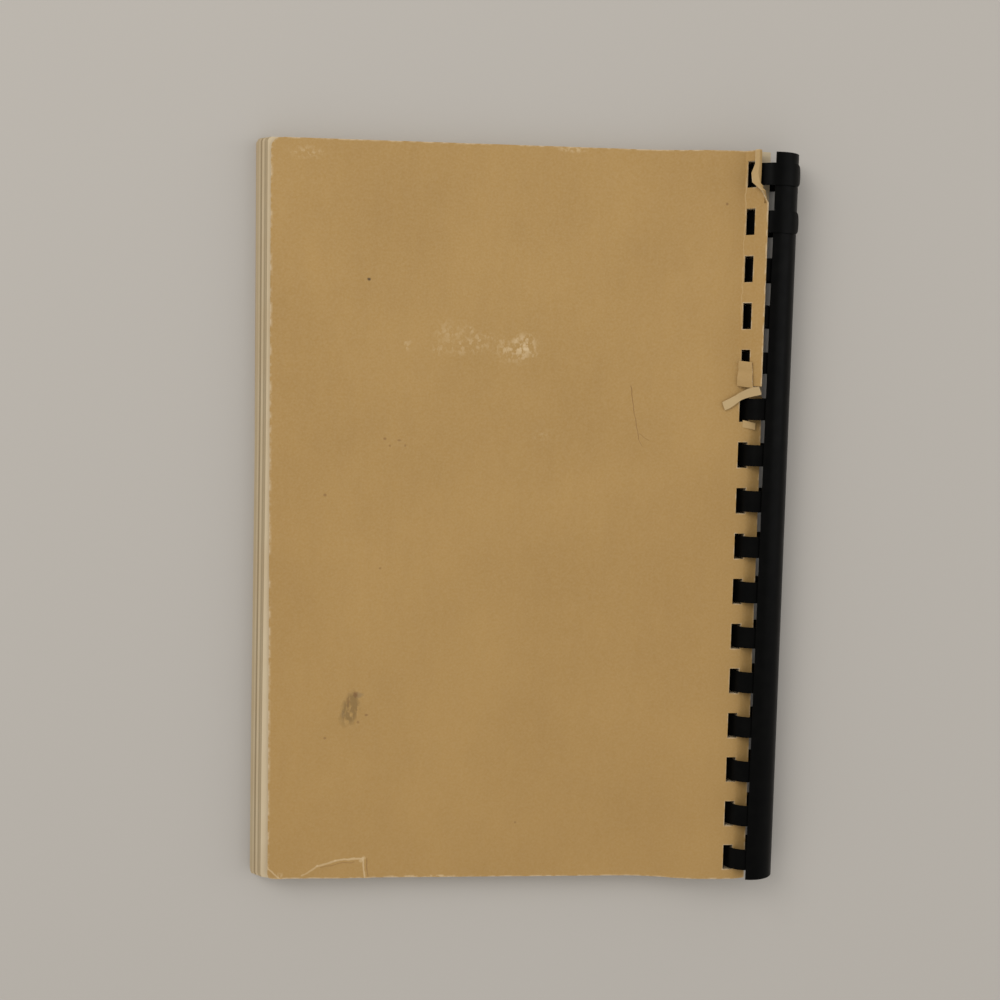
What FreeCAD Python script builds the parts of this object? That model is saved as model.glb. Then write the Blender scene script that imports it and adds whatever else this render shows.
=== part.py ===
import FreeCAD, Part
import Sketcher
import math
import os

# A comb-bound paperback lying flat with its back cover up.
# Millimetres. +X is the bound side, +Y the head of the sheets, +Z up.
# The origin is under the middle of the whole book, on the surface it lies on.

doc = FreeCAD.newDocument("CombBook")
sheet = doc.addObject("Spreadsheet::Sheet", "Dims")

# Driving dimensions
DIMENSIONS = [
    # the sheets
    ("sheet_height", 228.6),
    ("cover_width", 152.4),
    ("leaf_overhang", 3.4),
    ("fore_lean", 1.1),
    ("leaf_depth", 7.2),
    ("card_thick", 0.4),
    ("layer_gap", 0.05),
    ("leaf_corner", 1.2),
    ("card_corner", 3.4),
    # the rise of the sheets towards the rings
    ("rise", 3.95),
    ("rise_angle", 15.0),
    ("rise_end", -11.6),
    # the punched holes, measured from the bound edge of the sheets
    ("edge_in", -1.35),
    ("hole_margin", 4.25),
    ("hole_width", 3.0),
    ("hole_height", 8.0),
    ("hole_count", 16),
    # the comb
    ("comb_place", 74.85),
    ("comb_short", 2.4),
    ("comb_shift", -0.2),
    ("comb_radius", 8.0),
    ("spine_thick", 0.5),
    ("finger_thick", 0.4),
    ("finger_width", 6.6),
    ("spine_low", -40.0),
    ("spine_high", 102.0),
    ("root_lap", 4.0),
    ("finger_bend", 148.0),
    ("finger_tip", 58.0),
    ("tuck", 1.9),
    ("loose_count", 2),
    ("loose_tip", -2.0),
    ("loose_swell", 0.62),
    ("loose_ease", 2.2),
    # the torn head end of the back cover's punched margin
    ("strip_fold", -9.4),
    ("strip_tilt", 42.0),
    ("strip_length", 8.05),
    ("strip_rows", 5),
    ("strip_lap", 0.6),
    ("tear_length", 11.0),
    ("tear_width", 3.0),
    ("tear_gap", 1.0),
    ("tear_inset", 1.4),
    ("tear_end_inset", 1.0),
    ("tear_flare", 2.2),
    ("tear_slant", 0.8),
]
for row, (alias, number) in enumerate(DIMENSIONS, start=1):
    sheet.set("A%d" % row, alias)
    sheet.set("B%d" % row, str(number))
    sheet.setAlias("B%d" % row, alias)
doc.recompute()

# Two places closer than this are the same place
SAME = 1e-6
# A corner is looked for within this distance of its place
CORNER_REACH = 1.5
# How far the torn end sinks into the card under it, to be one piece with it
SINK = 0.02


class Size:
    """A size that carries its value and the sheet formula it comes from."""

    def __init__(self, value, text):
        self.value = float(value)
        self.text = text

    def __add__(self, other):
        other = size(other)
        return Size(self.value + other.value, "(%s + %s)" % (self.text, other.text))

    def __sub__(self, other):
        other = size(other)
        return Size(self.value - other.value, "(%s - %s)" % (self.text, other.text))

    def __mul__(self, other):
        other = size(other)
        return Size(self.value * other.value, "(%s * %s)" % (self.text, other.text))

    def __truediv__(self, other):
        other = size(other)
        return Size(self.value / other.value, "(%s / %s)" % (self.text, other.text))

    def __neg__(self):
        return Size(-self.value, "(0 - %s)" % self.text)

    __radd__ = __add__
    __rmul__ = __mul__


def size(number):
    if isinstance(number, Size):
        return number
    return Size(number, repr(float(number)))


def dim(alias):
    return Size(getattr(sheet, alias), "Dims." + alias)


def sine(angle):
    return Size(math.sin(math.radians(angle.value)), "sin(%s)" % angle.text)


def cosine(angle):
    return Size(math.cos(math.radians(angle.value)), "cos(%s)" % angle.text)


# Helpers for bodies, sketches and features
def new_body(label):
    body = doc.addObject("PartDesign::Body", "Body_" + label)
    body.Label = label
    return body


def origin_part(body, role):
    for item in body.Origin.OriginFeatures:
        if item.Role == role:
            return item
    raise RuntimeError("no " + role)


def outline(body, name, plane, corners, bows=None, offset=None):
    """A closed sketch through the corners.

    bows gives, by its number, the radius of a curved side, with 1 where the side turns
    to the left as it runs and -1 where it turns to the right.
    """
    bows = bows or {}
    sketch = body.newObject("Sketcher::SketchObject", name)
    sketch.AttachmentSupport = [(origin_part(body, plane), "")]
    sketch.MapMode = "FlatFace"
    if offset is not None:
        sketch.AttachmentOffset = FreeCAD.Placement(
            FreeCAD.Vector(0, 0, offset.value), FreeCAD.Rotation())
        sketch.setExpression("AttachmentOffset.Base.z", offset.text)
    corners = [(size(u), size(v)) for u, v in corners]
    count = len(corners)
    first_end = []
    last_end = []
    for i in range(count):
        start = FreeCAD.Vector(corners[i][0].value, corners[i][1].value, 0)
        end = FreeCAD.Vector(corners[(i + 1) % count][0].value,
                             corners[(i + 1) % count][1].value, 0)
        if i in bows:
            radius = bows[i][0].value
            left = bows[i][1] > 0
            chord = end - start
            half = chord.Length / 2
            reach = math.sqrt(max(radius * radius - half * half, 0.0))
            side = FreeCAD.Vector(-chord.y, chord.x, 0).normalize()
            if not left:
                side = side * -1
            centre = (start + end) * 0.5 + side * reach
            circle = Part.Circle(centre, FreeCAD.Vector(0, 0, 1), radius)
            a = math.atan2(start.y - centre.y, start.x - centre.x)
            b = math.atan2(end.y - centre.y, end.x - centre.x)
            if left:
                arc = Part.ArcOfCircle(circle, a, b if b > a else b + 2 * math.pi)
                first_end.append(1)
                last_end.append(2)
            else:
                arc = Part.ArcOfCircle(circle, b, a if a > b else a + 2 * math.pi)
                first_end.append(2)
                last_end.append(1)
            sketch.addGeometry(arc, False)
        else:
            sketch.addGeometry(Part.LineSegment(start, end), False)
            first_end.append(1)
            last_end.append(2)
    Constraint = Sketcher.Constraint
    for i in range(count):
        j = (i + 1) % count
        sketch.addConstraint(Constraint("Coincident", i, last_end[i], j, first_end[j]))
    for i in range(count):
        for kind, part in (("DistanceX", corners[i][0]), ("DistanceY", corners[i][1])):
            index = sketch.addConstraint(
                Constraint(kind, -1, 1, i, first_end[i], part.value))
            sketch.setExpression("Constraints[%d]" % index, part.text)
    for i in bows:
        index = sketch.addConstraint(Constraint("Radius", i, bows[i][0].value))
        sketch.setExpression("Constraints[%d]" % index, bows[i][0].text)
    return sketch


def thickness_of(body, kind, name, sketch, length):
    """A pad or pocket that reaches the same way on both sides of its sketch."""
    feature = body.newObject(kind, name)
    feature.Profile = sketch
    feature.Length = length.value
    feature.setExpression("Length", length.text)
    if hasattr(feature, "SideType"):
        feature.SideType = "Symmetric"
    else:
        feature.Midplane = True
    doc.recompute()
    return feature


def repeat(body, name, feature, pitch, count):
    """Copies of a feature, one pitch apart, from the head towards the foot."""
    pattern = body.newObject("PartDesign::LinearPattern", name)
    pattern.Originals = [feature]
    pattern.Direction = (origin_part(body, "Y_Axis"), [""])
    pattern.Reversed = True
    pattern.Length = (pitch * (count - 1)).value
    pattern.setExpression("Length", (pitch * (count - 1)).text)
    pattern.Occurrences = int(count.value)
    pattern.setExpression("Occurrences", count.text)
    body.Tip = pattern
    doc.recompute()
    return pattern


def round_corners(body, name, feature, radius, places):
    """Round the upright corners of a sheet at the given x, y places."""
    names = []
    for number, edge in enumerate(feature.Shape.Edges, start=1):
        ends = [v.Point for v in edge.Vertexes]
        if len(ends) != 2:
            continue
        middle = (ends[0] + ends[1]) * 0.5
        if abs(ends[0].y - ends[1].y) > SAME or abs(ends[0].z - ends[1].z) < SAME:
            continue
        for x, y in places:
            if abs(middle.x - x) < CORNER_REACH and abs(middle.y - y) < SAME:
                names.append("Edge%d" % number)
    fillet = body.newObject("PartDesign::Fillet", name)
    fillet.Base = (feature, names)
    fillet.Radius = radius.value
    fillet.setExpression("Radius", radius.text)
    doc.recompute()
    return fillet


# Places that several pieces share
comb_x = dim("comb_place")
comb_z = dim("comb_radius")
head = dim("sheet_height") / 2
pitch = dim("sheet_height") / dim("hole_count")
first_row = head - pitch / 2
strip_end = head - pitch * dim("strip_rows")
comb_length = dim("sheet_height") - dim("comb_short")
bound_edge = comb_x + dim("edge_in")
hole_outer = bound_edge - dim("hole_margin")
hole_inner = hole_outer - dim("hole_width")
rise = dim("rise")
slope = dim("rise_angle")
bend = rise / ((size(1) - cosine(slope)) * 2)
rise_end = comb_x + dim("rise_end")
rise_start = rise_end - bend * sine(slope) * 2
cover_fore = bound_edge - dim("cover_width")

# How deep a cut goes to pass through every layer, and how far it runs past an edge
through = dim("comb_radius") * 8
past = dim("hole_width")


def sheet_profile(low, high, fore_low, fore_high, edge=bound_edge):
    """The section of one flat layer that climbs to the rings in two even bends.

    low and high are the layer's faces, measured up from the underside of the book.
    """
    def climb(d):
        return (rise_start + (bend - d) * sine(slope),
                bend - (bend - d) * cosine(slope))
    corners = [
        (fore_low, low),
        (rise_start, low),
        climb(low),
        (rise_end, rise + low),
        (edge, rise + low),
        (edge, rise + high),
        (rise_end, rise + high),
        climb(high),
        (rise_start, high),
        (fore_high, high),
    ]
    bows = {1: (bend - low, 1), 2: (bend + low, -1),
            6: (bend + high, 1), 7: (bend - high, -1)}
    return corners, bows


def hole_sketch(body, name, left, right):
    half = dim("hole_height") / 2
    return outline(body, name, "XY_Plane", [
        (left, first_row - half), (right, first_row - half),
        (right, first_row + half), (left, first_row + half)])


# Heights of the layers, from the surface up
front_low = size(0)
front_high = dim("card_thick")
leaf_low = front_high + dim("layer_gap")
leaf_high = leaf_low + dim("leaf_depth")
back_low = leaf_high + dim("layer_gap")
back_high = back_low + dim("card_thick")
leaf_fore_high = cover_fore - dim("leaf_overhang")
leaf_fore_low = leaf_fore_high - dim("fore_lean")

# Front cover, the lowest sheet
front = new_body("front_cover")
corners, bows = sheet_profile(front_low, front_high, leaf_fore_low, leaf_fore_low)
profile = outline(front, "FrontSection", "XZ_Plane", corners, bows)
pad = thickness_of(front, "PartDesign::Pad", "FrontCard", profile, dim("sheet_height"))
pad = round_corners(front, "FrontCorners", pad, dim("leaf_corner"),
                    [(leaf_fore_low.value, head.value), (leaf_fore_low.value, -head.value)])
hole = thickness_of(front, "PartDesign::Pocket", "FrontHole",
                    hole_sketch(front, "FrontHolePlan", hole_inner, hole_outer), through)
repeat(front, "FrontHoles", hole, pitch, dim("hole_count"))

# All the leaves as one block
block = new_body("page_block")
corners, bows = sheet_profile(leaf_low, leaf_high, leaf_fore_low, leaf_fore_high)
profile = outline(block, "LeafSection", "XZ_Plane", corners, bows)
pad = thickness_of(block, "PartDesign::Pad", "Leaves", profile, dim("sheet_height"))
pad = round_corners(block, "LeafCorners", pad, dim("leaf_corner"),
                    [((leaf_fore_low.value + leaf_fore_high.value) / 2, head.value),
                     ((leaf_fore_low.value + leaf_fore_high.value) / 2, -head.value)])
hole = thickness_of(block, "PartDesign::Pocket", "LeafHole",
                    hole_sketch(block, "LeafHolePlan", hole_inner, hole_outer), through)
repeat(block, "LeafHoles", hole, pitch, dim("hole_count"))

# Back cover, the top card, with its torn margin
back = new_body("back_cover")
corners, bows = sheet_profile(back_low, back_high, cover_fore, cover_fore)
profile = outline(back, "BackSection", "XZ_Plane", corners, bows)
pad = thickness_of(back, "PartDesign::Pad", "BackCard", profile, dim("sheet_height"))
pad = round_corners(back, "BackCorners", pad, dim("card_corner"),
                    [(cover_fore.value, head.value)])
pad = round_corners(back, "BackFootCorner", pad, dim("leaf_corner"),
                    [(cover_fore.value, -head.value)])
hole = thickness_of(back, "PartDesign::Pocket", "BackHole",
                    hole_sketch(back, "BackHolePlan", hole_inner, hole_outer), through)
repeat(back, "BackHoles", hole, pitch, dim("hole_count"))

# The margin of the first five holes has come off the rings: it is cut away here
strip_x = comb_x + dim("strip_fold")
strip_z = rise + back_low
strip_cut = outline(back, "StripCutPlan", "XY_Plane", [
    (strip_x, strip_end), (bound_edge + past, strip_end),
    (bound_edge + past, head + past), (strip_x, head + past)])
thickness_of(back, "PartDesign::Pocket", "StripCut", strip_cut, through)

# and stands up from the fold at a slant, over the fingers
tilt = dim("strip_tilt")
long = dim("strip_length")
card = dim("card_thick")
strip_middle = (head + strip_end) / 2
strip_root = strip_x - dim("strip_lap")
strip_profile = outline(back, "StripSection", "XZ_Plane", [
    (strip_root, strip_z),
    (strip_x, strip_z),
    (strip_x + long * cosine(tilt), strip_z + long * sine(tilt)),
    (strip_x + long * cosine(tilt) - card * sine(tilt),
     strip_z + long * sine(tilt) + card * cosine(tilt)),
    (strip_x - card * sine(tilt / 2) / cosine(tilt / 2), strip_z + card),
    (strip_root, strip_z + card)], offset=-strip_middle)
thickness_of(back, "PartDesign::Pad", "Strip", strip_profile, head - strip_end)
strip_hole = thickness_of(
    back, "PartDesign::Pocket", "StripHole",
    hole_sketch(back, "StripHolePlan",
                strip_x + (long - dim("hole_margin") - dim("hole_width")) * cosine(tilt),
                strip_x + (long - dim("hole_margin")) * cosine(tilt)), through)
repeat(back, "StripHoles", strip_hole, pitch, dim("strip_rows"))

# the torn end of the margin is folded back flat over the card
tear_width = dim("tear_width")
tear_low = strip_end - tear_width - dim("tear_gap")
tear_inner = hole_inner - dim("tear_length") / 2
tear = outline(back, "TearPlan", "XY_Plane", [
    (tear_inner, tear_low),
    (bound_edge - dim("tear_inset"), tear_low + dim("tear_inset")),
    (bound_edge - dim("tear_end_inset"), tear_low + dim("tear_flare") + tear_width / 2),
    (tear_inner + dim("tear_slant"), tear_low + tear_width)],
    offset=rise + back_high + card / 2 - SINK)
thickness_of(back, "PartDesign::Pad", "Tear", tear, card)

# The comb: a spine and its curled fingers, one moulding
comb = new_body("binding_comb")
outer = dim("comb_radius")


def on_ring(radius, angle):
    return (comb_x + radius * cosine(angle), comb_z + radius * sine(angle))


spine_inner = outer - dim("spine_thick")
low = dim("spine_low")
high = dim("spine_high")
spine = outline(comb, "SpineSection", "XZ_Plane", [
    on_ring(outer, low), on_ring(outer, high),
    on_ring(spine_inner, high), on_ring(spine_inner, low)],
    {0: (outer, 1), 2: (spine_inner, -1)}, offset=-dim("comb_shift"))
thickness_of(comb, "PartDesign::Pad", "Spine", spine, comb_length)

finger_inner = outer - dim("finger_thick")
turn = dim("finger_bend")
tip = dim("finger_tip")
tuck = dim("tuck")
root = low + dim("root_lap")
tuck_x = comb_x + tuck * cosine(turn)
tuck_z = comb_z + tuck * sine(turn)
row_offset = -(first_row - pitch * dim("loose_count"))
under = size(-180)
finger = outline(comb, "FingerSection", "XZ_Plane", [
    on_ring(outer, root),
    on_ring(outer, under),
    on_ring(outer, turn),
    (tuck_x + (outer - tuck) * cosine(tip), tuck_z + (outer - tuck) * sine(tip)),
    (tuck_x + (finger_inner - tuck) * cosine(tip), tuck_z + (finger_inner - tuck) * sine(tip)),
    on_ring(finger_inner, turn),
    on_ring(finger_inner, under),
    on_ring(finger_inner, root)],
    {0: (outer, -1), 1: (outer, -1), 2: (outer - tuck, -1),
     4: (finger_inner - tuck, 1), 5: (finger_inner, 1), 6: (finger_inner, 1)},
    offset=row_offset)
one = thickness_of(comb, "PartDesign::Pad", "Finger", finger, dim("finger_width"))
repeat(comb, "Fingers", one, pitch, dim("hole_count") - dim("loose_count"))

# The first two fingers have sprung out and lie over the spine
swell = dim("loose_swell")
loose_outer = outer + swell
loose_inner = loose_outer - dim("finger_thick")
loose_tip = dim("loose_tip")
ease = swell * dim("loose_ease")
loose = outline(comb, "LooseFingerSection", "XZ_Plane", [
    on_ring(outer, root),
    on_ring(outer, under),
    on_ring(outer, turn),
    on_ring(loose_outer, high),
    on_ring(loose_outer, loose_tip),
    on_ring(loose_inner, loose_tip),
    on_ring(loose_inner, high),
    on_ring(finger_inner, turn),
    on_ring(finger_inner, under),
    on_ring(finger_inner, root)],
    {0: (outer, -1), 1: (outer, -1), 2: (outer + ease, -1), 3: (loose_outer, -1),
     5: (loose_inner, 1), 6: (finger_inner + ease, 1), 7: (finger_inner, 1),
     8: (finger_inner, 1)},
    offset=-first_row)
one = thickness_of(comb, "PartDesign::Pad", "LooseFinger", loose, dim("finger_width"))
repeat(comb, "LooseFingers", one, pitch, dim("loose_count"))

doc.recompute()

# Checks before anything is written
for item in doc.Objects:
    if "Invalid" in item.State or "Error" in item.State:
        raise RuntimeError("%s (%s) did not compute" % (item.Name, item.Label))

pieces = [front, block, back, comb]
os.makedirs("parts", exist_ok=True)
for piece in pieces:
    shape = piece.Shape
    if shape.isNull() or not shape.isValid():
        raise RuntimeError(piece.Label + " has no valid shape")
    if len(shape.Solids) != 1:
        raise RuntimeError("%s is %d solids" % (piece.Label, len(shape.Solids)))
for piece in pieces:
    shape = piece.Shape
    box = shape.BoundBox
    print("%-13s volume %9.1f  faces %4d  x %.2f..%.2f y %.2f..%.2f z %.2f..%.2f" % (
        piece.Label, shape.Volume, len(shape.Faces),
        box.XMin, box.XMax, box.YMin, box.YMax, box.ZMin, box.ZMax))
    shape.exportStep("parts/%s.step" % piece.Label)
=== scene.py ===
import math

import bmesh
import bpy
from mathutils import Euler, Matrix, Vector, noise


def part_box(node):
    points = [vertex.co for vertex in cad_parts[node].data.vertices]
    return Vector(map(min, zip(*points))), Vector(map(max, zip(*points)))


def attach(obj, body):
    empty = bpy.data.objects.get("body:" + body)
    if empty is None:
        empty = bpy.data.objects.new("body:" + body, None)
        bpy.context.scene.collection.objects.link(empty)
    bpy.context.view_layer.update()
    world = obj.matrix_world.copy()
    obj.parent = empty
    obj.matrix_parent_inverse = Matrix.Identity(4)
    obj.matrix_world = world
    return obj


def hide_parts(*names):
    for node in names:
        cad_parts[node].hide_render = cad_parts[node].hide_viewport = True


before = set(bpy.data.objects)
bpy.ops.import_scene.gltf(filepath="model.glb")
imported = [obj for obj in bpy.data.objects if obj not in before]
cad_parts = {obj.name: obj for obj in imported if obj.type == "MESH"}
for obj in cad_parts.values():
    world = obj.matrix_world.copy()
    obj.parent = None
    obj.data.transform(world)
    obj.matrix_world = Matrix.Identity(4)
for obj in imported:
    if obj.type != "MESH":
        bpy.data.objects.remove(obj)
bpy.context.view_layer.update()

# Sizes in metres, read from the frame or the same as in the part's sheet
MM = 0.001
card_low, card_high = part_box("back_cover")
leaves_low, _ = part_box("page_block")
comb_low, comb_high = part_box("binding_comb")

FORE = card_low[0]
BOUND = card_high[0]
HEAD = card_high[1]
FOOT = card_low[1]
LEAF_FORE = leaves_low[0]
LEAF_BASE = 0.45 * MM
CARD_BASE = 7.70 * MM
CARD_THICK = 0.4 * MM
CARD_TOP = CARD_BASE + CARD_THICK
HOLES = 16
PITCH = (HEAD - FOOT) / HOLES
HOLE_TALL = 8.0 * MM
HOLE_WIDE = 3.0 * MM
HOLE_MARGIN = 4.25 * MM
HOLE_OUTER = BOUND - HOLE_MARGIN
HOLE_INNER = HOLE_OUTER - HOLE_WIDE
RING_X = BOUND + 1.35 * MM
RING_Z = 8.0 * MM

# The rise of the sheets towards the rings
RISE = 3.95 * MM
RISE_TURN = math.radians(15.0)
RISE_END = RING_X - 11.6 * MM
BEND = RISE / (2 * (1 - math.cos(RISE_TURN)))
RISE_START = RISE_END - 2 * BEND * math.sin(RISE_TURN)

# The torn margin beside the first five holes
STRIP_ROWS = 5
STRIP_END = HEAD - PITCH * STRIP_ROWS
STRIP_FOLD = RING_X - 9.4 * MM
STRIP_TILT = math.radians(42.0)
STRIP_ACROSS, STRIP_UP = math.cos(STRIP_TILT), math.sin(STRIP_TILT)
STRIP_RUN = BOUND - STRIP_FOLD
STRIP_TOP = CARD_TOP + RISE

# Two places closer than the first are the same place, two cut lines closer than the second are one
SAME = 1e-6
SAME_CUT = 1e-7


def climb(x):
    """How far the sheets have risen at x."""
    if x <= RISE_START:
        return 0.0
    if x >= RISE_END:
        return RISE
    middle = (RISE_START + RISE_END) / 2
    if x < middle:
        return BEND - math.sqrt(BEND ** 2 - (x - RISE_START) ** 2)
    return RISE - BEND + math.sqrt(BEND ** 2 - (RISE_END - x) ** 2)


def smooth(value, start, end):
    """0 before start, 1 after end, and an even curve between."""
    t = min(1.0, max(0.0, (value - start) / (end - start)))
    return t * t * (3 - 2 * t)


def hole_centre(row):
    return HEAD - PITCH * (row + 0.5)


def hole_spans(rows):
    """The foot and head edges of the holes in these rows."""
    return [(hole_centre(r) - HOLE_TALL / 2, hole_centre(r) + HOLE_TALL / 2) for r in rows]


def in_hole_rows(y, spare=0.0):
    """Whether y lies beside a hole, with spare on either side."""
    return any(low - spare < y < high + spare for low, high in hole_spans(range(HOLES)))


def margin_dip(x):
    """0 at the holes and 1 at the bound edge, where the tabs dip towards the comb."""
    return smooth(x, HOLE_OUTER - 1 * MM, BOUND) ** 1.5


def even_steps(start, end, step):
    """Places from start to end, about one step apart, both ends included."""
    count = max(1, round(abs(end - start) / step))
    return [start + (end - start) * i / count for i in range(count + 1)]


def joined_steps(*runs):
    places = []
    for run in runs:
        places += [p for p in run if not places or abs(p - places[-1]) > SAME_CUT]
    return places


# Materials
class Finish:
    """A small helper that adds and joins the shader nodes of one material."""

    def __init__(self, name, rough, gloss=0.5):
        self.material = bpy.data.materials.new(name)
        self.material.use_nodes = True
        self.tree = self.material.node_tree
        self.shader = self.tree.nodes["Principled BSDF"]
        self.shader.inputs["Roughness"].default_value = rough
        self.shader.inputs["Specular IOR Level"].default_value = gloss
        self.place = self.add("ShaderNodeTexCoord").outputs["Object"]
        self.wavering = None

    def add(self, kind, **settings):
        node = self.tree.nodes.new(kind)
        for name, value in settings.items():
            setattr(node, name, value)
        return node

    def feed(self, socket, value):
        if hasattr(value, "is_output"):
            self.tree.links.new(value, socket)
        else:
            socket.default_value = value

    def sum(self, kind, a, b=0.0, clamp=False):
        node = self.add("ShaderNodeMath", operation=kind, use_clamp=clamp)
        self.feed(node.inputs[0], a)
        self.feed(node.inputs[1], b)
        return node.outputs[0]

    def vector(self, kind, a, b=(0, 0, 0)):
        node = self.add("ShaderNodeVectorMath", operation=kind)
        self.feed(node.inputs[0], a)
        self.feed(node.inputs[1], b)
        return node

    def range(self, value, low, high, to_low=0.0, to_high=1.0):
        node = self.add("ShaderNodeMapRange")
        self.feed(node.inputs["Value"], value)
        node.inputs["From Min"].default_value = low
        node.inputs["From Max"].default_value = high
        node.inputs["To Min"].default_value = to_low
        node.inputs["To Max"].default_value = to_high
        return node.outputs["Result"]

    def grain(self, scale, detail=3.0, stretch=(1, 1, 1)):
        turned = self.add("ShaderNodeMapping")
        self.feed(turned.inputs["Vector"], self.place)
        turned.inputs["Scale"].default_value = stretch
        node = self.add("ShaderNodeTexNoise")
        self.feed(node.inputs["Vector"], turned.outputs["Vector"])
        node.inputs["Scale"].default_value = scale
        node.inputs["Detail"].default_value = detail
        return node.outputs["Fac"]

    def mix(self, factor, a, b):
        node = self.add("ShaderNodeMix", data_type="RGBA")
        self.feed(node.inputs["Factor"], factor)
        self.feed(node.inputs["A"], a)
        self.feed(node.inputs["B"], b)
        return node.outputs["Result"]

    def height_on_page(self):
        """How far towards the head a point lies."""
        parts = self.add("ShaderNodeSeparateXYZ")
        self.feed(parts.inputs[0], self.place)
        return parts.outputs["Y"]

    def faces_up(self):
        """1 on faces that look up, 0 on those that look down."""
        parts = self.add("ShaderNodeSeparateXYZ")
        self.feed(parts.inputs[0], self.add("ShaderNodeTexCoord").outputs["Normal"])
        return self.range(parts.outputs["Z"], 0.05, 0.2)

    def attribute(self, name):
        return self.add("ShaderNodeAttribute", attribute_name=name).outputs["Fac"]

    def colour(self, value):
        self.feed(self.shader.inputs["Base Color"], value)

    def relief(self, height, strength, distance):
        node = self.add("ShaderNodeBump")
        node.inputs["Strength"].default_value = strength
        node.inputs["Distance"].default_value = distance
        self.feed(node.inputs["Height"], height)
        self.feed(self.shader.inputs["Normal"], node.outputs["Normal"])

    def patch(self, centre, size, edge=0.35, rough_edge=0.5, turn=0.0, grain_scale=500.0):
        """A soft round mark: 1 inside, 0 outside, with an uneven rim. Sizes in mm."""
        shifted = self.vector("SUBTRACT", self.place,
                              (centre[0] * MM, centre[1] * MM, 0)).outputs[0]
        turned = self.add("ShaderNodeVectorRotate", rotation_type="Z_AXIS")
        self.feed(turned.inputs["Vector"], shifted)
        turned.inputs["Angle"].default_value = turn
        scaled = self.vector("MULTIPLY", turned.outputs[0],
                             (1 / (size[0] * MM), 1 / (size[1] * MM), 0)).outputs[0]
        length = self.vector("LENGTH", scaled).outputs["Value"]
        uneven = self.sum("MULTIPLY", self.sum("SUBTRACT", self.grain(grain_scale, 4.0), 0.5),
                          rough_edge * 2)
        return self.range(self.sum("ADD", length, uneven), 1.0, 1.0 - edge)

    def wavering_place(self):
        """The place on the card, pushed about a little, so that marks aren't ruled straight."""
        if self.wavering is None:
            drift = self.add("ShaderNodeTexNoise")
            self.feed(drift.inputs["Vector"], self.place)
            drift.inputs["Scale"].default_value = 260.0
            drift.inputs["Detail"].default_value = 3.0
            push = self.vector("MULTIPLY", self.vector("SUBTRACT", drift.outputs["Color"],
                                                       (0.5, 0.5, 0.5)).outputs[0],
                               (1.5 * MM, 1.5 * MM, 0)).outputs[0]
            self.wavering = self.vector("ADD", self.place, push).outputs[0]
        return self.wavering

    def stroke(self, start, end, width):
        """A thin mark between two points, not quite straight. Sizes in mm."""
        run = Vector((end[0] - start[0], end[1] - start[1], 0)) * MM
        shifted = self.vector("SUBTRACT", self.wavering_place(),
                              (start[0] * MM, start[1] * MM, 0)).outputs[0]
        flat = self.vector("MULTIPLY", shifted, (1, 1, 0)).outputs[0]
        along = self.sum("DIVIDE", self.vector("DOT_PRODUCT", flat, tuple(run)).outputs["Value"],
                         run.length_squared, clamp=True)
        foot = self.add("ShaderNodeVectorMath", operation="SCALE")
        foot.inputs[0].default_value = tuple(run)
        self.feed(foot.inputs["Scale"], along)
        away = self.vector("DISTANCE", flat, foot.outputs[0]).outputs["Value"]
        return self.range(away, width * MM / 2, width * MM / 6)


TAN = (0.430, 0.260, 0.083, 1)
TAN_DEEP = (0.385, 0.229, 0.070, 1)
TAN_SHADE = (0.372, 0.215, 0.066, 1)
TAN_PALE = (0.62, 0.46, 0.26, 1)
CORE = (0.66, 0.53, 0.36, 1)
BROWN = (0.20, 0.10, 0.035, 1)
DIRT = (0.05, 0.035, 0.02, 1)
GREY_BROWN = (0.26, 0.175, 0.085, 1)
RUBBED = (0.170, 0.105, 0.036, 1)
TORN_REVERSE = (0.50, 0.36, 0.18, 1)
LEAF_DARK = (0.33, 0.255, 0.155, 1)
LEAF_PALE = (0.60, 0.49, 0.325, 1)
LEAF_AGED = (0.42, 0.28, 0.13, 1)
COMB_BLACK = (0.0012, 0.0012, 0.0011, 1)
COMB_HANDLED = (0.0024, 0.0023, 0.0020, 1)
FLOOR_TONE = (0.49, 0.462, 0.425, 1)
WARM_WHITE = (1.0, 0.985, 0.96)


def cover_card(name, marked):
    """Uncoated tan card. Where it is marked, its upper face has the back cover's wear and stains,
    with painted shade towards the foot and painted shadow lines beside two creases.
    """
    f = Finish(name, 0.72, 0.35)
    broad = f.range(f.grain(28.0, 3.0), 0.3, 0.7)
    fine = f.range(f.grain(1500.0, 2.0), 0.25, 0.75)
    fibre = f.range(f.grain(420.0, 3.0, stretch=(1, 0.25, 1)), 0.3, 0.7)
    tone = f.mix(broad, TAN, TAN_DEEP)
    tone = f.mix(f.sum("MULTIPLY", fine, 0.16), tone, TAN_PALE)
    tone = f.mix(f.sum("MULTIPLY", fibre, 0.05), tone, BROWN)

    if marked:
        tone = f.mix(f.faces_up(), tone, with_marks(f, tone))
        worn = f.sum("MULTIPLY", f.attribute("worn"),
                     f.range(f.grain(420.0, 4.0), 0.42, 0.62))
        tone = f.mix(worn, tone, CORE)
        tone = f.mix(f.attribute("reverse"), tone, TORN_REVERSE)
    f.colour(tone)
    f.relief(f.sum("ADD", f.grain(1100.0, 3.0), f.sum("MULTIPLY", f.grain(90.0, 3.0), 2.0)),
             0.25, 0.00012)
    return f.material


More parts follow.
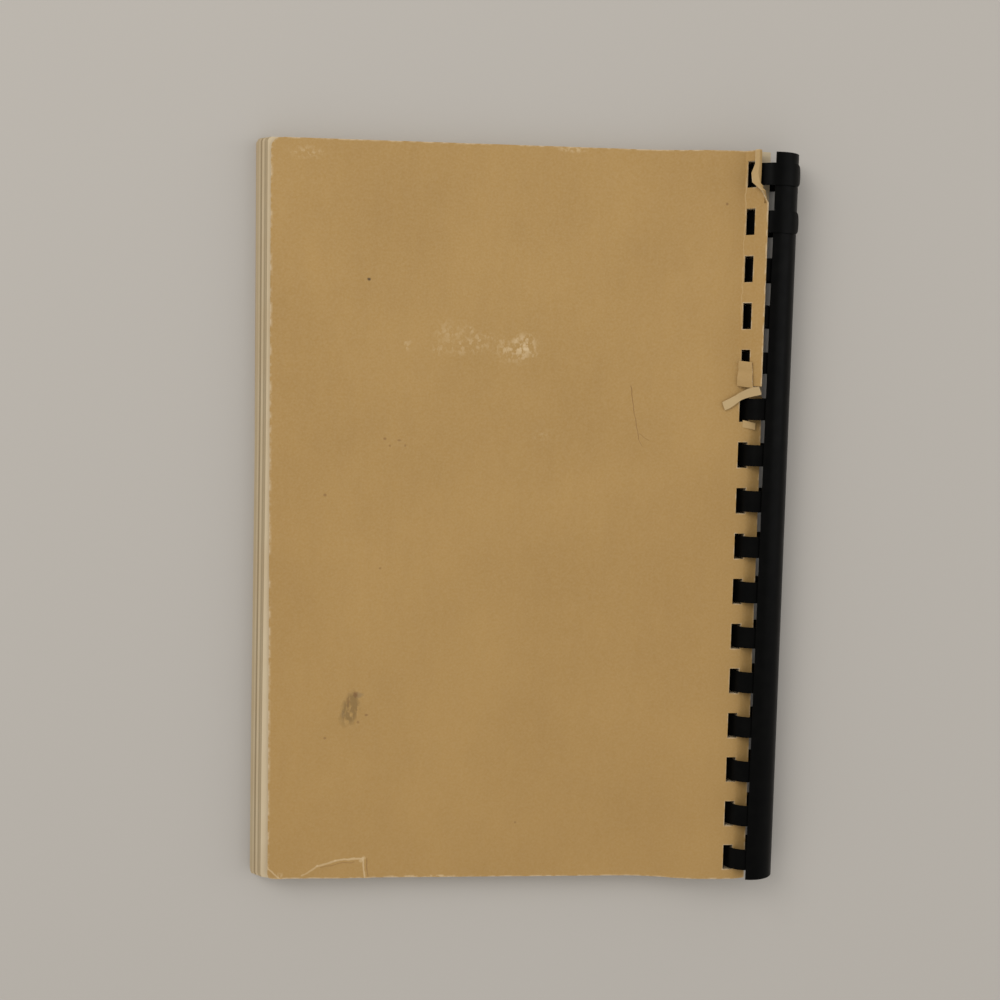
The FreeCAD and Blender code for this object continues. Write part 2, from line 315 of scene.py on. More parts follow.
def with_marks(f, tone):
    """The card's tone with painted shade towards the foot, scuffs, stains, scratches, pale lines
    along the creases and painted shadow lines beside them.
    """
    # Painted shade: the tone darkens towards the foot
    low_down = f.range(f.sum("MULTIPLY", f.height_on_page(), -1.0), -0.06, 0.12, 0.0, 0.28)
    tone = f.mix(low_down, tone, TAN_SHADE)
    patchy = f.range(f.grain(900.0, 6.0, stretch=(1, 0.7, 1)), 0.47, 0.60)
    for centre, size, strength, turn in SCUFFS:
        mark = f.sum("MULTIPLY", f.patch(centre, size, 0.8, 0.5, turn), patchy)
        tone = f.mix(f.sum("MULTIPLY", mark, strength), tone, TAN_PALE)
    for centre, size, strength, ink in STAINS:
        mark = f.patch(centre, size, 0.6, 0.45, 0.0, 900.0)
        tone = f.mix(f.sum("MULTIPLY", mark, strength), tone, ink)
    rubbed = f.range(f.grain(800.0, 4.0, stretch=(1, 0.5, 1)), 0.40, 0.56)
    smudge = f.patch(SMUDGE, SMUDGE_SIZE, 0.45, 0.30, 0.20, 420.0)
    tone = f.mix(f.sum("MULTIPLY", smudge, f.sum("MULTIPLY", rubbed, 0.60)), tone, RUBBED)
    # Scratches, pale lines along the creases, and painted shadow lines beside the creases
    for start, end, width, strength, ink in STROKES:
        tone = f.mix(f.sum("MULTIPLY", f.stroke(start, end, width), strength), tone, ink)
    return tone


def card_core():
    f = Finish("torn card edge", 0.85, 0.2)
    f.colour(f.mix(f.range(f.grain(900.0, 3.0), 0.3, 0.7), CORE, TAN))
    return f.material


def leaf_paper():
    """Aged paper; each leaf has a tone of its own."""
    f = Finish("aged leaf paper", 0.8, 0.25)
    tone = f.mix(f.attribute("leaf_tone"), LEAF_DARK, LEAF_PALE)
    tone = f.mix(f.sum("MULTIPLY", f.range(f.grain(60.0, 3.0), 0.35, 0.75), 0.2), tone, LEAF_AGED)
    f.colour(tone)
    return f.material


def comb_plastic():
    """Black plastic with a soft sheen and fine handling marks."""
    f = Finish("black comb plastic", 0.34, 0.045)
    f.colour(f.mix(f.range(f.grain(300.0, 3.0), 0.4, 0.8), COMB_BLACK, COMB_HANDLED))
    f.feed(f.shader.inputs["Roughness"], f.range(f.grain(240.0, 4.0), 0.3, 0.8, 0.30, 0.42))
    return f.material


def plain_finish(name, colour, rough):
    f = Finish(name, rough, 0.2)
    f.colour(colour)
    return f.material


# Marks on the back cover, in mm on the card: x from the middle, y towards the head
SCUFFS = [
    ((-0.5, 53.8), (4.8, 4.6), 0.95, 0.4),
    ((-5.0, 52.0), (7.0, 4.0), 0.65, 0.2),
    ((-16.0, 54.0), (9.0, 3.4), 0.50, -0.3),
    ((-24.0, 57.0), (6.0, 5.0), 0.30, 0.3),
    ((-37.0, 53.2), (2.4, 2.0), 0.40, 0.0),
    ((-27.0, 51.9), (2.6, 1.8), 0.45, 0.0),
    ((-17.6, 58.2), (3.0, 1.6), 0.35, 0.3),
    ((4.7, 26.4), (3.6, 2.4), 0.22, 0.0),
    ((-68.0, 110.0), (7.0, 2.2), 0.50, 0.0),
    ((12.5, 113.6), (6.0, 1.2), 0.60, 0.0),
    ((-28.0, -113.9), (17.0, 0.5), 0.75, 0.0),
    ((-74.5, -113.3), (3.4, 1.0), 0.55, -0.7),
    ((-78.2, 37.0), (0.7, 4.0), 0.70, 0.0),
    ((-78.2, -30.0), (0.6, 3.0), 0.60, 0.0),
]
STAINS = [
    ((-48.6, 72.8), (0.75, 0.6), 0.90, DIRT),
    ((-43.1, 24.4), (0.6, 0.5), 0.60, BROWN),
    ((-41.6, 22.3), (0.5, 0.5), 0.50, BROWN),
    ((-38.7, 24.0), (0.7, 0.4), 0.50, BROWN),
    ((-36.9, 22.4), (0.5, 0.6), 0.45, BROWN),
    ((-61.2, 6.8), (0.7, 0.6), 0.55, BROWN),
    ((60.1, 98.2), (0.6, 0.6), 0.75, BROWN),
    ((-50.4, -55.7), (1.9, 1.1), 0.60, GREY_BROWN),
    ((-47.8, -62.0), (0.7, 0.5), 0.60, BROWN),
    ((-60.5, -69.4), (0.6, 0.5), 0.55, BROWN),
    ((-50.3, -64.3), (0.6, 0.6), 0.50, BROWN),
    ((-0.3, -96.6), (0.5, 0.5), 0.50, BROWN),
    ((-44.1, -15.7), (0.5, 0.5), 0.45, BROWN),
    ((-51.3, -55.6), (0.9, 1.3), 0.80, BROWN),
    ((-53.4, -58.0), (0.6, 1.9), 0.55, BROWN),
    ((-55.0, -61.6), (0.5, 1.8), 0.45, GREY_BROWN),
]
STROKES = [
    ((32.6, 42.1), (34.0, 34.5), 0.32, 0.75, BROWN),
    ((34.0, 34.5), (35.6, 25.8), 0.26, 0.70, BROWN),
    ((35.6, 27.2), (39.0, 25.1), 0.24, 0.55, BROWN),
    ((35.6, 25.8), (37.1, 23.2), 0.22, 0.55, BROWN),
    ((-67.2, -113.4), (-62.4, -110.2), 0.80, 0.45, TAN_PALE),
    ((-62.4, -110.2), (-57.0, -108.7), 0.90, 0.55, TAN_PALE),
    ((-57.0, -108.7), (-48.8, -107.8), 0.80, 0.66, TAN_PALE),
    ((-49.0, -108.6), (-48.0, -107.6), 1.60, 0.50, TAN_PALE),
    # Painted shadow: a brown line along the foot side of the crease ridge
    ((-61.5, -110.6), (-51.0, -109.0), 0.45, 0.40, BROWN),
    ((-48.2, -107.6), (-47.8, -114.0), 0.90, 0.66, TAN_PALE),
    # Painted shadow: a brown line beside the pinched crease
    ((-47.0, -107.8), (-46.7, -114.5), 0.34, 0.66, BROWN),
    ((-78.0, -110.6), (-74.0, -114.2), 0.60, 0.60, TAN_PALE),
    ((65.9, 106.0), (65.7, 96.0), 0.30, 0.40, TAN_PALE),
    ((65.8, 92.0), (65.6, 62.0), 0.26, 0.30, TAN_PALE),
]
SMUDGE = (-52.8, -60.2)
SMUDGE_SIZE = (3.3, 6.4)


# The back cover
CREASES = [
    ((-67.2, -113.6), (-61.7, -109.8), 0.30),
    ((-61.7, -109.8), (-50.7, -108.3), 0.30),
    ((-50.7, -108.3), (-46.9, -113.8), 0.40),
    ((-77.8, -111.0), (-74.1, -114.2), 0.35),
]
CREASE_WIDTH = 0.9 * MM
CARD_WAVE = 0.10 * MM
FOOT_BUCKLE_AT = -56 * MM
FOOT_BUCKLE_WIDTH = 9 * MM
FOOT_BUCKLE = 0.5 * MM
CORNER_LIFT_REACH = 14 * MM
CORNER_LIFT = 0.5 * MM
MARGIN_DIP = 0.9 * MM

# The drawn sheet is a little thinner than the CAD's, and its fore corners are round
SHEET_THICK = CARD_THICK * 0.9
HEAD_RADIUS = 3.4 * MM
FOOT_RADIUS = 0.4 * HEAD_RADIUS

# The outline's points lie within the rim, the lighter wear within the second band
RIM = 0.1 * MM
WEAR_BAND = 0.4 * MM
NIBBLE = 0.09 * MM
CARD_SHARP = math.radians(38)


def distance_to_run(x, y, start, end):
    ax, ay = start[0] * MM, start[1] * MM
    bx, by = end[0] * MM - ax, end[1] * MM - ay
    t = ((x - ax) * bx + (y - ay) * by) / (bx * bx + by * by)
    t = min(1.0, max(0.0, t))
    return math.hypot(x - ax - t * bx, y - ay - t * by)


def card_lift(x, y):
    """Creases and slow waves of the card; it never dips below its flat underside."""
    lift = CARD_WAVE * (1 + noise.noise(Vector((x * 22, y * 16, 3.0))))
    for start, end, height in CREASES:
        away = distance_to_run(x, y, start, end)
        lift += height * MM * math.exp(-(away / CREASE_WIDTH) ** 2)
    buckle = math.exp(-((x - FOOT_BUCKLE_AT) / FOOT_BUCKLE_WIDTH) ** 2)
    lift += FOOT_BUCKLE * (buckle * smooth(y, FOOT + 6 * MM, FOOT))
    corner = math.hypot(x - FORE, y - FOOT)
    lift += CORNER_LIFT * math.exp(-(corner / CORNER_LIFT_REACH) ** 2)
    return lift * (1 - smooth(x, RISE_END - 8 * MM, STRIP_FOLD - 1 * MM))


def fore_trim(x, y):
    """How far the card's fore edge is drawn in, most at the foot."""
    trim = (0.55 + 0.35 * smooth(y, HEAD, FOOT)) * MM
    return trim * (1 - smooth(x, FORE, FORE + 25 * MM))


def corner_fold(y):
    """How far along the loose margin its head corner is turned back on itself."""
    return STRIP_RUN - 2.9 * MM * smooth(y, HEAD - 16 * MM, HEAD - 8.5 * MM)


def curl_at(y):
    """1 where the folded corner still curls out over the first hole, 0 towards the head."""
    return math.exp(-((y - HEAD + 8.6 * MM) / (2.4 * MM)) ** 2)


def on_strip(x, y):
    """A place on the loose margin, which leans up over the fingers."""
    run = x - STRIP_FOLD
    fold = corner_fold(y)
    beyond = max(0.0, run - fold)
    reach = run - beyond * (1.45 + 0.45 * curl_at(y))
    lift = 0.7 * MM * smooth(beyond, 0.0, 0.8 * MM) + (0.12 + 0.3 * curl_at(y)) * beyond
    wave = 0.15 * MM * noise.noise(Vector((x * 300, y * 90, 8.0)))
    return Vector((STRIP_FOLD + reach * STRIP_ACROSS - lift * STRIP_UP, y,
                   STRIP_TOP + reach * STRIP_UP + lift * STRIP_ACROSS + wave))


def on_card(x, y):
    """A place on the card, whose tabs beyond the holes dip towards the comb."""
    place = Vector((x, y, CARD_TOP + climb(x) + card_lift(x, y)))
    place.z -= MARGIN_DIP * margin_dip(x)
    return place


def card_rows():
    """Cut lines across the card, from foot to head."""
    lines = [FOOT, FOOT + 0.5 * MM, FOOT + 1.5 * MM]
    for row in reversed(range(HOLES)):
        low, high = hole_spans([row])[0]
        lines += [low - 1.3 * MM, low - 0.35 * MM, low, low + 1.3 * MM,
                  (low + high) / 2, high - 1.3 * MM, high, high + 0.35 * MM, high + 1.3 * MM]
        if row == STRIP_ROWS:
            lines.append(STRIP_END)
    lines += [HEAD - 1.5 * MM, HEAD - 0.5 * MM, HEAD]
    return sorted(lines)


def card_columns():
    """Cut lines along the card, from the fore edge to the bound edge."""
    return joined_steps(
        [FORE, FORE + 0.35 * MM, FORE + 0.9 * MM],
        even_steps(FORE + 2 * MM, FORE + 40 * MM, 2 * MM),
        even_steps(FORE + 43 * MM, RISE_START, 4 * MM),
        even_steps(RISE_START, RISE_END, 2 * MM),
        [RISE_END, STRIP_FOLD - 0.8 * MM, STRIP_FOLD - 0.35 * MM, STRIP_FOLD,
         HOLE_INNER - 0.35 * MM, HOLE_INNER, HOLE_OUTER, HOLE_OUTER + 0.4 * MM],
        even_steps(HOLE_OUTER + 1.2 * MM, BOUND - 0.5 * MM, 0.9 * MM),
        [BOUND])


def corner_round(x, y):
    """Pull the outline in round the two fore corners."""
    for side, reach in ((HEAD, HEAD_RADIUS), (FOOT, FOOT_RADIUS)):
        cx = FORE + reach
        cy = side - math.copysign(reach, side)
        if x < cx and (y - cy) * side > 0:
            away = Vector((x - cx, y - cy))
            square = max(abs(away.x), abs(away.y))
            if away.length > 1e-9:
                away *= square / away.length
                return cx + away.x, cy + away.y
    return x, y


def back_card():
    """The whole back cover: card, punched holes, loose margin and torn flaps."""
    columns = card_columns()
    rows = card_rows()
    mesh = bmesh.new()
    worn = mesh.verts.layers.float.new("worn")
    reverse = mesh.verts.layers.float.new("reverse")
    made = {}

    def corner(i, j, loose):
        loose = loose and columns[i] > STRIP_FOLD + SAME_CUT
        key = (i, j, loose)
        if key not in made:
            x, y = columns[i], rows[j]
            edge = min(x - FORE, HEAD - y, y - FOOT)
            if edge < RIM:
                nibble = NIBBLE * abs(noise.noise(Vector((x * 260, y * 260, 5.0))))
                x += nibble if x - FORE < RIM else 0
                y -= math.copysign(nibble, y) if abs(y) > HEAD - RIM else 0
            x, y = corner_round(x, y)
            x += fore_trim(x, y)
            vert = mesh.verts.new(on_strip(x, y) if loose else on_card(x, y))
            near_hole = (HOLE_INNER - SAME < columns[i] < HOLE_OUTER + SAME
                         and in_hole_rows(rows[j], SAME))
            if edge < RIM or near_hole or i == len(columns) - 1:
                vert[worn] = 0.75
            elif edge < WEAR_BAND:
                vert[worn] = 0.35
            if loose and x - STRIP_FOLD > corner_fold(y) + 0.2 * MM:
                vert[reverse] = 0.45
            made[key] = vert
        return made[key]

    for i in range(len(columns) - 1):
        x = (columns[i] + columns[i + 1]) / 2
        in_hole_column = HOLE_INNER < x < HOLE_OUTER
        for j in range(len(rows) - 1):
            y = (rows[j] + rows[j + 1]) / 2
            if in_hole_column and in_hole_rows(y):
                continue
            loose = x > STRIP_FOLD and y > STRIP_END
            if x > HOLE_OUTER and torn_away(y):
                continue
            mesh.faces.new([corner(i, j, loose), corner(i + 1, j, loose),
                            corner(i + 1, j + 1, loose), corner(i, j + 1, loose)])
    for flap, paleness, step in FLAPS:
        ribbon(mesh, reverse, paleness, step, flap)
    card = finish_mesh("back_cover_card", mesh)
    thicken(card, SHEET_THICK)
    return card


def torn_away(y):
    """The bar between the fifth and sixth holes is gone: it is the folded strip."""
    return hole_centre(STRIP_ROWS) + HOLE_TALL / 2 - SAME < y < STRIP_END


def ribbon(mesh, reverse, paleness, step, flap):
    """A narrow sheet of card; flap gives its middle and its half width, for t from 0 to 1."""
    places = [flap(t) for t in even_steps(0.0, 1.0, step)]
    left = [mesh.verts.new(middle + half) for middle, half in places]
    right = [mesh.verts.new(middle - half) for middle, half in places]
    for vert in left + right:
        vert[reverse] = paleness
    for k in range(len(places) - 1):
        mesh.faces.new([left[k], right[k], right[k + 1], left[k + 1]])


def folded_strip(t):
    """The torn end of the margin, folded back over the card with its paler side up."""
    x = (71.3 - 10.2 * t) * MM
    y = (41.6 - 4.6 * t + 0.5 * math.sin(t * 5)) * MM
    z = STRIP_TOP + (4.7 * max(0.0, 1 - t / 0.5) + 0.35 + 0.25 * math.sin(t * math.pi)) * MM
    wide = (1.25 + 0.12 * math.sin(t * 9)) * MM
    return Vector((x, y, z)), Vector((-0.36 * wide, 0.93 * wide, 0.05 * wide))


def curled_flap(t):
    """A scrap of card that lies on the loose margin, over the lower half of the fifth hole."""
    run = 2.75 * MM
    y = (42.6 + 7.8 * t) * MM
    lift = (0.55 + 0.35 * abs(math.sin(t * 5.2))) * MM
    wide = (2.7 - 0.5 * t) * MM
    middle = Vector((STRIP_FOLD + run * STRIP_ACROSS - lift * STRIP_UP, y,
                     STRIP_TOP + run * STRIP_UP + lift * STRIP_ACROSS))
    return middle, Vector((-wide * STRIP_ACROSS, 0.1 * wide, -wide * STRIP_UP))


def torn_tab(t):
    """A creased scrap that lies on the tab below the sixth hole, clear of the comb's path."""
    x = (67.4 + 4.0 * t) * MM
    y = (31.2 - 0.8 * t) * MM
    z = STRIP_TOP + (0.12 + 0.28 * math.sin(t * 2.6)) * MM
    return Vector((x, y, z)), Vector((0.0, 1.1 * MM, 0.06 * MM))


# Each flap with how much of the card's paler reverse shows, and the step between its points
FLAPS = [(folded_strip, 1.0, 0.1), (curled_flap, 0.3, 0.1), (torn_tab, 0.5, 0.2)]


def finish_mesh(name, mesh, shade_smooth=True):
    data = bpy.data.meshes.new(name)
    mesh.to_mesh(data)
    mesh.free()
    piece = bpy.data.objects.new(name, data)
    bpy.context.collection.objects.link(piece)
    if shade_smooth:
        for face in data.polygons:
            face.use_smooth = True
    return piece


def apply_modifiers(piece):
    """Turn a piece with modifiers into a plain mesh."""
    bpy.context.view_layer.update()
    seen = piece.evaluated_get(bpy.context.evaluated_depsgraph_get())
    plain = bpy.data.meshes.new_from_object(seen)
    piece.modifiers.clear()
    piece.data = plain
    return piece


def thicken(piece, thickness):
    """Give a sheet its thickness below its face, with the torn colour on its rim."""
    solid = piece.modifiers.new("Card thickness", "SOLIDIFY")
    solid.thickness = thickness
    solid.offset = -1
    solid.material_offset_rim = 1
    solid.use_rim = True


# The leaves
LEAF_THICK = 0.085 * MM
LEAF_NICK = 0.35 * MM
LEAF_SPREAD = 0.9 * MM

# Where in the stack the steps begin, and how the leaves' tones differ
STEPS_BEGIN = 0.45
TONE_TURN = 2.4
TONE_SWING = 0.42
TONE_RANGE = (0.3, 0.75)


def one_leaf():
    """A single punched leaf at the bottom of the stack, following the sheets' rise."""
    columns = joined_steps(
        [LEAF_FORE, LEAF_FORE + 1.2 * MM, LEAF_FORE + 6 * MM, LEAF_FORE + 14 * MM],
        [RISE_START - 30 * MM, RISE_START],
        even_steps(RISE_START, RISE_END, 3 * MM),
        [RISE_END, HOLE_INNER, HOLE_OUTER, (HOLE_OUTER + BOUND) / 2, BOUND])
    rows = [FOOT, FOOT + 1.2 * MM]
    for low, high in reversed(hole_spans(range(HOLES))):
        rows += [low, high]
    rows += [HEAD - 1.2 * MM, HEAD]
    mesh = bmesh.new()
    reach = mesh.verts.layers.float.new("fore_reach")
    dip = mesh.verts.layers.float.new("margin_dip")
    made = {}

    def corner(i, j):
        if (i, j) not in made:
            x, y = columns[i], rows[j]
            if i == 0 and j in (0, len(rows) - 1):
                x += LEAF_NICK
                y -= math.copysign(LEAF_NICK, y)
            if i == 0:
                x -= LEAF_SPREAD * smooth(y, HEAD - 60 * MM, FOOT)
            vert = mesh.verts.new((x, y, LEAF_BASE + climb(x)))
            vert[reach] = 1 - smooth(x, LEAF_FORE + 1 * MM, LEAF_FORE + 14 * MM)
            vert[dip] = margin_dip(x)
            made[(i, j)] = vert
        return made[(i, j)]

    for i in range(len(columns) - 1):
        x = (columns[i] + columns[i + 1]) / 2
        for j in range(len(rows) - 1):
            y = (rows[j] + rows[j + 1]) / 2
            if HOLE_INNER < x < HOLE_OUTER and in_hole_rows(y):
                continue
            mesh.faces.new([corner(i, j), corner(i + 1, j), corner(i + 1, j + 1), corner(i, j + 1)])
    return finish_mesh("page_leaves", mesh, shade_smooth=False)


def leaf_stack_tree(paper):
    """Geometry Nodes: copies of one leaf, one spacing apart, none quite like the next."""
    tree = bpy.data.node_groups.new("Leaf stack", "GeometryNodeTree")
    face = tree.interface
    face.new_socket("Leaf", in_out="INPUT", socket_type="NodeSocketGeometry")
    sizes = [("Leaves", "NodeSocketInt", 62), ("Spacing", "NodeSocketFloat", 0.000115),
             ("Unevenness", "NodeSocketFloat", 0.0004), ("Lean", "NodeSocketFloat", 0.0011),
             ("Steps", "NodeSocketFloat", 12.0), ("Step size", "NodeSocketFloat", 0.00048),
             ("Dip", "NodeSocketFloat", 0.0009), ("Seed", "NodeSocketInt", 7)]
    for name, kind, value in sizes:
        socket = face.new_socket(name, in_out="INPUT", socket_type=kind)
        socket.default_value = value
    face.new_socket("Stack", in_out="OUTPUT", socket_type="NodeSocketGeometry")
    nodes, links = tree.nodes, tree.links
    given = nodes.new("NodeGroupInput").outputs

    def math_node(kind, a, b):
        node = nodes.new("ShaderNodeMath")
        node.operation = kind
        for socket, value in zip(node.inputs, (a, b)):
            if hasattr(value, "is_output"):
                links.new(value, socket)
            else:
                socket.default_value = value
        return node.outputs[0]

    def chance(low, high, seed_step):
        node = nodes.new("FunctionNodeRandomValue")
        node.data_type = "FLOAT"
        node.inputs[2].default_value = low
        node.inputs[3].default_value = high
        links.new(math_node("ADD", given["Seed"], seed_step), node.inputs["Seed"])
        return node.outputs[1]

    def keep(geometry, name, value):
        node = nodes.new("GeometryNodeStoreNamedAttribute")
        node.data_type = "FLOAT"
        node.domain = "INSTANCE"
        links.new(geometry, node.inputs["Geometry"])
        node.inputs["Name"].default_value = name
        links.new(value, node.inputs["Value"])
        return node.outputs["Geometry"]

    def recall(name):
        node = nodes.new("GeometryNodeInputNamedAttribute")
        node.data_type = "FLOAT"
        node.inputs["Name"].default_value = name
        return node.outputs["Attribute"]

    def vector_of(x=None, z=None):
        node = nodes.new("ShaderNodeCombineXYZ")
        for name, value in (("X", x), ("Z", z)):
            if value is not None:
                links.new(value, node.inputs[name])
        return node.outputs[0]

    line = nodes.new("GeometryNodeMeshLine")
    links.new(given["Leaves"], line.inputs["Count"])
    links.new(vector_of(z=given["Spacing"]), line.inputs["Offset"])
    copies = nodes.new("GeometryNodeInstanceOnPoints")
    links.new(line.outputs["Mesh"], copies.inputs["Points"])
    links.new(given["Leaf"], copies.inputs["Instance"])
    level = math_node("DIVIDE", nodes.new("GeometryNodeInputIndex").outputs[0], given["Leaves"])
    lean = math_node("MULTIPLY", level, given["Lean"])
    uneven = math_node("MULTIPLY", chance(0.0, 1.0, 1), given["Unevenness"])
    upper = math_node("MAXIMUM", math_node("SUBTRACT", level, STEPS_BEGIN), 0.0)
    step = math_node("FLOOR", math_node("MULTIPLY", upper, given["Steps"]), 0.0)
    stepped = math_node("MULTIPLY", step, given["Step size"])
    wave = math_node("SINE", math_node("MULTIPLY", step, TONE_TURN), 0.0)
    tone = math_node("ADD", math_node("MULTIPLY", wave, TONE_SWING), chance(*TONE_RANGE, 0))
    stack = keep(copies.outputs["Instances"], "leaf_tone", tone)
    stack = keep(stack, "leaf_level", level)
    stack = keep(stack, "leaf_shift",
                 math_node("ADD", math_node("ADD", lean, stepped), uneven))
    real = nodes.new("GeometryNodeRealizeInstances")
    links.new(stack, real.inputs["Geometry"])
    shift = nodes.new("GeometryNodeSetPosition")
    links.new(real.outputs["Geometry"], shift.inputs["Geometry"])
    out_x = math_node("MULTIPLY", recall("leaf_shift"), recall("fore_reach"))
    sunk = math_node("MULTIPLY", math_node("MULTIPLY", recall("leaf_level"), recall("margin_dip")),
                     math_node("MULTIPLY", given["Dip"], -1.0))
    links.new(vector_of(x=out_x, z=sunk), shift.inputs["Offset"])
    coat = nodes.new("GeometryNodeSetMaterial")
    coat.inputs["Material"].default_value = paper
    links.new(shift.outputs["Geometry"], coat.inputs["Geometry"])
    links.new(coat.outputs["Geometry"], nodes.new("NodeGroupOutput").inputs["Stack"])
    return tree


def page_leaves(paper):
    leaf = one_leaf()
    thin = leaf.modifiers.new("Leaf thickness", "SOLIDIFY")
    thin.thickness = LEAF_THICK
    thin.offset = 1
    stack = leaf.modifiers.new("Leaf stack", "NODES")
    stack.node_group = leaf_stack_tree(paper)
    return apply_modifiers(leaf)


# The comb, with angles in degrees round its axis
SPINE_LOW = -40.0
SPINE_HIGH = 102.0
SPINE_SPARE = 0.5
SPINE_BAND = (7.4 * MM, 8.05 * MM)
WIND_AT_HEAD = -5.0
WIND_TO_FOOT = 8.5

# The sprung fingers lie outside the spine; their tips are drawn back and cut finely to be round
LOOSE_ROWS = 2
LOOSE_TIP = -2.0
LOOSE_SPARE = 1
LOOSE_RADIUS = 8.1 * MM
LOOSE_REACH = 4 * MM
SHORT_TIP = 20.0
TIP_CUTS = (2, 4, 7, 11, 16, 22, 28)
TIP_HALF = 0.4 * MM
FINGER_HALF = 3.3 * MM

# The spine runs on a little past the last finger at the head
HEAD_BAND = 0.1 * MM
HEAD_OVERRUN = 0.9 * MM
MERGE = 0.00001
COMB_SHARP = math.radians(28)


def round_ring(vert):
    """A vertex's distance from the comb's axis and its angle in degrees."""
    x, z = vert.co.x - RING_X, vert.co.z - RING_Z
    return math.hypot(x, z), math.degrees(math.atan2(z, x))


def put_on_ring(vert, radius, angle):
    vert.co.x = RING_X + radius * math.cos(math.radians(angle))
    vert.co.z = RING_Z + radius * math.sin(math.radians(angle))


def wind_spine(mesh):
    """The spine's free edge winds towards the cover on its way to the foot."""
    for vert in mesh.verts:
        radius, angle = round_ring(vert)
        if (SPINE_BAND[0] < radius < SPINE_BAND[1]
                and SPINE_LOW <= angle < SPINE_HIGH + SPINE_SPARE):
            along = (comb_high[1] - vert.co.y) / (comb_high[1] - comb_low[1])
            turn = WIND_AT_HEAD + WIND_TO_FOOT * along
            share = (angle - SPINE_LOW) / (SPINE_HIGH - SPINE_LOW)
            put_on_ring(vert, radius, angle + turn * share)


def round_loose_tips(mesh):
    """The two sprung fingers end in a round tongue at the comb's side."""
    for row in range(LOOSE_ROWS):
        middle = hole_centre(row)

        def loose():
            found = []
            for vert in mesh.verts:
                radius, angle = round_ring(vert)
                if (radius > LOOSE_RADIUS and abs(vert.co.y - middle) < LOOSE_REACH
                        and LOOSE_TIP - LOOSE_SPARE < angle < SPINE_HIGH + LOOSE_SPARE):
                    found.append(vert)
            return found

        for cut in TIP_CUTS:
            verts = set(loose())
            faces = [f for f in mesh.faces if all(v in verts for v in f.verts)]
            edges = {e for f in faces for e in f.edges}
            angle = math.radians(LOOSE_TIP + cut)
            bmesh.ops.bisect_plane(
                mesh, geom=list(verts) + list(edges) + faces, dist=SAME,
                plane_co=(RING_X, 0, RING_Z), plane_no=(-math.sin(angle), 0, math.cos(angle)))
        for vert in loose():
            radius, angle = round_ring(vert)
            share = (angle - LOOSE_TIP) / (SPINE_HIGH - LOOSE_TIP)
            angle = SHORT_TIP + share * (SPINE_HIGH - SHORT_TIP)
            put_on_ring(vert, radius, angle)
            from_tip = max(0.0, math.radians(angle - SHORT_TIP) * radius)
            if from_tip < FINGER_HALF:
                wide = math.sqrt(FINGER_HALF ** 2 - (FINGER_HALF - from_tip) ** 2)
                vert.co.y = middle + math.copysign(max(wide, TIP_HALF), vert.co.y - middle)


def comb_look(plastic):
    """The comb's own mesh with its doubled corners merged, so its curves shade evenly."""
    mesh = bmesh.new()
    mesh.from_mesh(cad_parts["binding_comb"].data)
    bmesh.ops.remove_doubles(mesh, verts=mesh.verts, dist=MERGE)
    wind_spine(mesh)
    round_loose_tips(mesh)
    for vert in mesh.verts:
        if vert.co.y > comb_high[1] - HEAD_BAND:
            vert.co.y += HEAD_OVERRUN
    for edge in mesh.edges:
        edge.smooth = len(edge.link_faces) == 2 and edge.calc_face_angle(0) < COMB_SHARP
    comb = finish_mesh("comb", mesh)
    comb.data.materials.clear()
    comb.data.materials.append(plastic)
    return comb


# Floor, lights and camera
FLOOR_REACH = 3.0
FLOOR_DROP = 0.0001
WORLD_STRENGTH = 0.62


def soft_lamp(name, place, target, size, power, colour=(1, 1, 1)):
    light = bpy.data.lights.new(name, "AREA")
    light.shape = "RECTANGLE"
    light.size, light.size_y = size
    light.energy = power
    light.color = colour
    lamp = bpy.data.objects.new(name, light)
    lamp.location = place
    lamp.rotation_euler = (Vector(target) - Vector(place)).to_track_quat("-Z", "Y").to_euler()
    bpy.context.collection.objects.link(lamp)


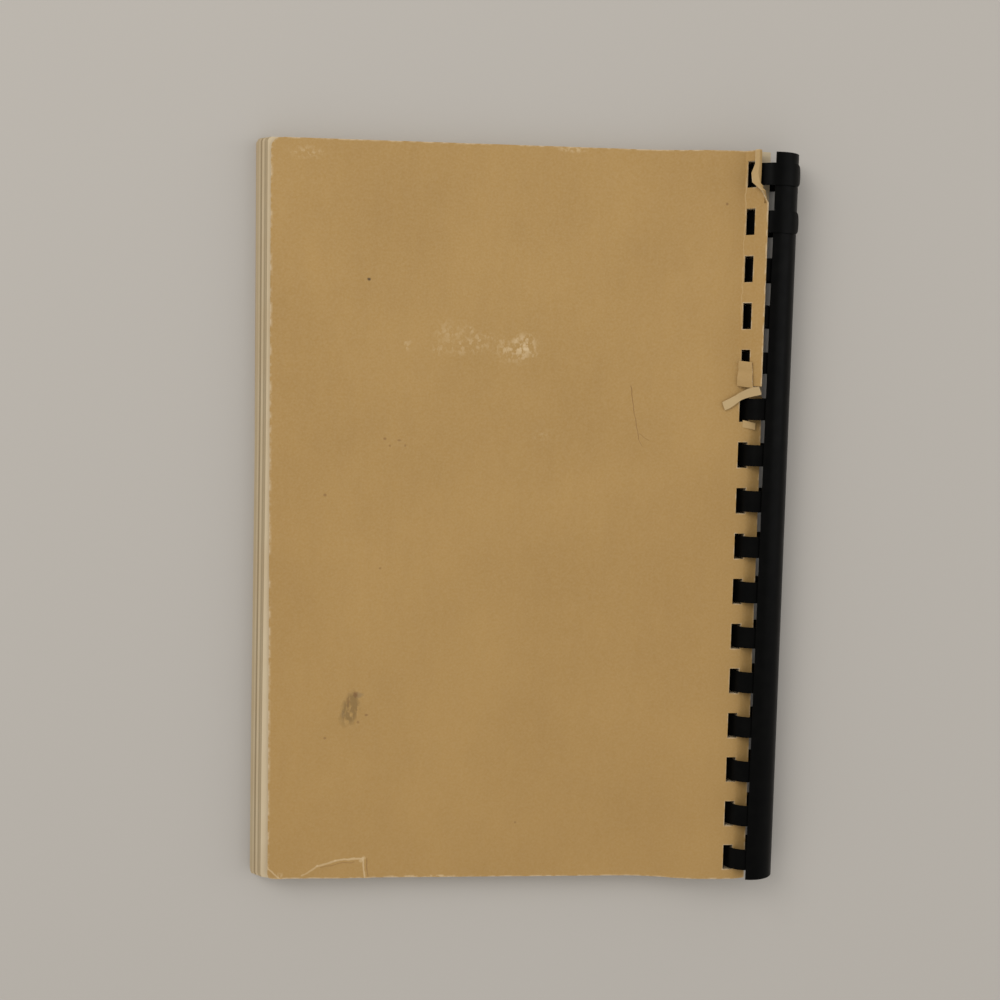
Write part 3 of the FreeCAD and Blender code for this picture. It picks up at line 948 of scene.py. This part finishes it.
def studio():
    floor_data = bpy.data.meshes.new("floor")
    far = FLOOR_REACH
    floor_data.from_pydata([(-far, -far, 0), (far, -far, 0), (far, far, 0), (-far, far, 0)],
                           [], [(0, 1, 2, 3)])
    floor = bpy.data.objects.new("floor", floor_data)
    floor.location.z = -FLOOR_DROP
    bpy.context.collection.objects.link(floor)
    floor_data.materials.append(plain_finish("pale floor", FLOOR_TONE, 0.7))
    world = bpy.data.worlds.new("soft studio")
    bpy.context.scene.world = world
    world.use_nodes = True
    world.node_tree.nodes["Background"].inputs["Color"].default_value = (*WARM_WHITE, 1)
    world.node_tree.nodes["Background"].inputs["Strength"].default_value = WORLD_STRENGTH
    soft_lamp("window light", (-0.75, 0.75, 1.15), (0, 0, 0), (0.9, 0.9), 9.5, WARM_WHITE)
    soft_lamp("right fill", (1.1, 0.1, 0.7), (0.05, 0, 0), (0.5, 1.0), 2.6)


CAMERA_PLACE = (-43.5 * MM, 45.4 * MM, 439.4 * MM)
CAMERA_TILTS = (math.radians(-5.22), math.radians(-4.78), math.radians(0.79))
FOCAL_IN_FRAME_WIDTHS = 1.400


def photo_camera():
    lens = bpy.data.cameras.new("camera")
    lens.sensor_width = 36.0
    lens.lens = FOCAL_IN_FRAME_WIDTHS * lens.sensor_width
    camera = bpy.data.objects.new("camera", lens)
    camera.location = CAMERA_PLACE
    camera.rotation_mode = "ZYX"
    camera.rotation_euler = Euler(CAMERA_TILTS, "ZYX")
    bpy.context.collection.objects.link(camera)
    bpy.context.scene.camera = camera


# Putting the book together
card = cover_card("tan cover card", marked=True)
plain_card = cover_card("plain cover card", marked=False)
core = card_core()
paper = leaf_paper()
plastic = comb_plastic()

back = back_card()
back.data.materials.append(card)
back.data.materials.append(core)
apply_modifiers(back)
back.data.set_sharp_from_angle(angle=CARD_SHARP)
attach(back, "back")
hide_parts("back_cover")

leaves = page_leaves(paper)
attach(leaves, "leaves")
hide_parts("page_block")

comb = comb_look(plastic)
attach(comb, "comb")
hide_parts("binding_comb")

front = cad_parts["front_cover"]
front.data.materials.clear()
front.data.materials.append(plain_card)

studio()
photo_camera()
bpy.context.scene.view_settings.view_transform = "Standard"
